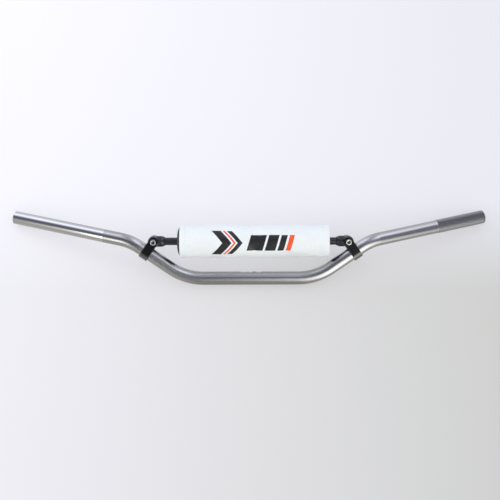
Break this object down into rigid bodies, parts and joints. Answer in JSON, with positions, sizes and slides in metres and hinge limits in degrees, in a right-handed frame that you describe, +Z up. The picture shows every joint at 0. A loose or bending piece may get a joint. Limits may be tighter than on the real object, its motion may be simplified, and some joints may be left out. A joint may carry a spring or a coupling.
{
  "type": "motorcycle handlebar",
  "caption": "Motorcycle handlebar: a bent aluminium tube with risers and swept-back grips, a clamped-on black crossbar and a padded white crossbar cover.",
  "frame": {"origin": "middle of the straight centre length of the tube, on the tube's axis", "axes": "+X along the centre straight to the rider's left, +Y back towards the rider, +Z up in the plane of the risers and the crossbar"},
  "size_m": [0.8, 0.0915, 0.1186],
  "materials": {
    "bar_anodised": "satin",
    "black_steel": "satin",
    "black_anodised": "satin",
    "bright_steel": "satin",
    "bush_brass": "satin",
    "lock_nylon": "matte",
    "foam_black": "matte",
    "cover_white": "satin",
    "hook_black": "matte"
  },
  "bodies": {
    "bar": {"handlebar_tube": "bar_anodised", "left_clamp": "black_steel", "right_clamp": "black_steel", "left_clamp_nut": "bright_steel", "right_clamp_nut": "bright_steel", "left_nut_washer": "bright_steel", "right_nut_washer": "bright_steel", "left_nut_lock_ring": "lock_nylon", "right_nut_lock_ring": "lock_nylon", "crossbar_tube": "black_anodised", "left_crossbar_end": "black_anodised", "right_crossbar_end": "black_anodised", "left_pivot_bush": "bush_brass", "right_pivot_bush": "bush_brass"},
    "left_washer_body": {"left_screw_washer": "black_steel"},
    "left_screw_body": {"left_clamp_screw": "bright_steel"},
    "right_washer_body": {"right_screw_washer": "black_steel"},
    "right_screw_body": {"right_clamp_screw": "bright_steel"},
    "pad_foam_body": {"pad_foam": "foam_black"},
    "pad_cover_body": {"pad_cover": "cover_white", "pad_hook_strip": "hook_black", "pad_loop_strip": "hook_black"}
  },
  "joints": [
    {"name": "left_screw_out", "type": "slide", "parent": "bar", "child": "left_washer_body", "axis": [0, -1, 0], "range_m": [0, 0.004]},
    {"name": "left_screw_turn", "type": "hinge", "parent": "left_washer_body", "child": "left_screw_body", "pos_m": [0.15948, 0, 0.06144], "axis": [0, -1, 0], "range_deg": [0, 1440]},
    {"name": "right_screw_out", "type": "slide", "parent": "bar", "child": "right_washer_body", "axis": [0, -1, 0], "range_m": [0, 0.004]},
    {"name": "right_screw_turn", "type": "hinge", "parent": "right_washer_body", "child": "right_screw_body", "pos_m": [-0.15948, 0, 0.06144], "axis": [0, -1, 0], "range_deg": [0, 1440]},
    {"name": "pad_slide", "type": "slide", "parent": "bar", "child": "pad_foam_body", "axis": [1, 0, 0], "range_m": [-0.0185, 0.009]},
    {"name": "cover_turn", "type": "hinge", "parent": "pad_foam_body", "child": "pad_cover_body", "pos_m": [0, 0, 0.06144], "axis": [1, 0, 0], "continuous": true}
  ],
  "couplings": [
    {"joint": "left_screw_turn", "follows": "left_screw_out", "rad_per_m": 6283.1},
    {"joint": "right_screw_turn", "follows": "right_screw_out", "rad_per_m": 6283.1}
  ]
}
